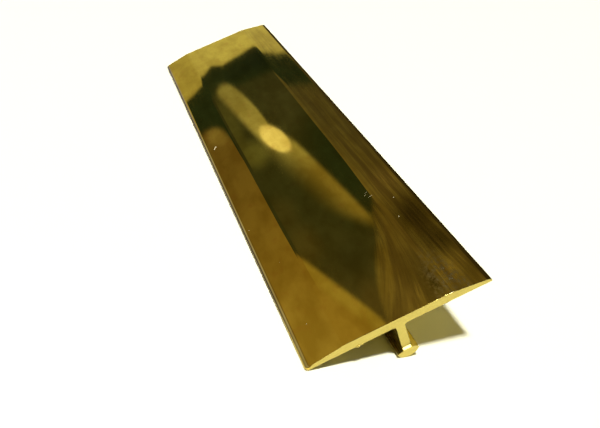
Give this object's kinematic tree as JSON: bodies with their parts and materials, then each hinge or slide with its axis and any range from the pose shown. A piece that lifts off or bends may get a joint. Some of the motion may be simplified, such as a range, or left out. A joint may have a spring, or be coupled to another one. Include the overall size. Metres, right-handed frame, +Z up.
{
  "type": "threshold strip",
  "caption": "Polished brass T-section strip: a bevelled cap covers the joint between two floors, and a stem with a barbed foot is bedded in the joint.",
  "frame": {"origin": "on the stem's middle plane at the finished floor level, which is the underside of the cap, halfway along the strip", "axes": "+Z up, out of the floor; +Y along the strip, away from the end with the saw lip; +X across it. -Z is the way the stem goes into the floor joint"},
  "size_m": [0.0414, 0.16, 0.0118],
  "materials": {
    "polished_brass": "polished on top, fine-sawn at the ends, mill finish underneath"
  },
  "bodies": {
    "root": {"brass_t_profile": "polished_brass"}
  },
  "joints": []
}
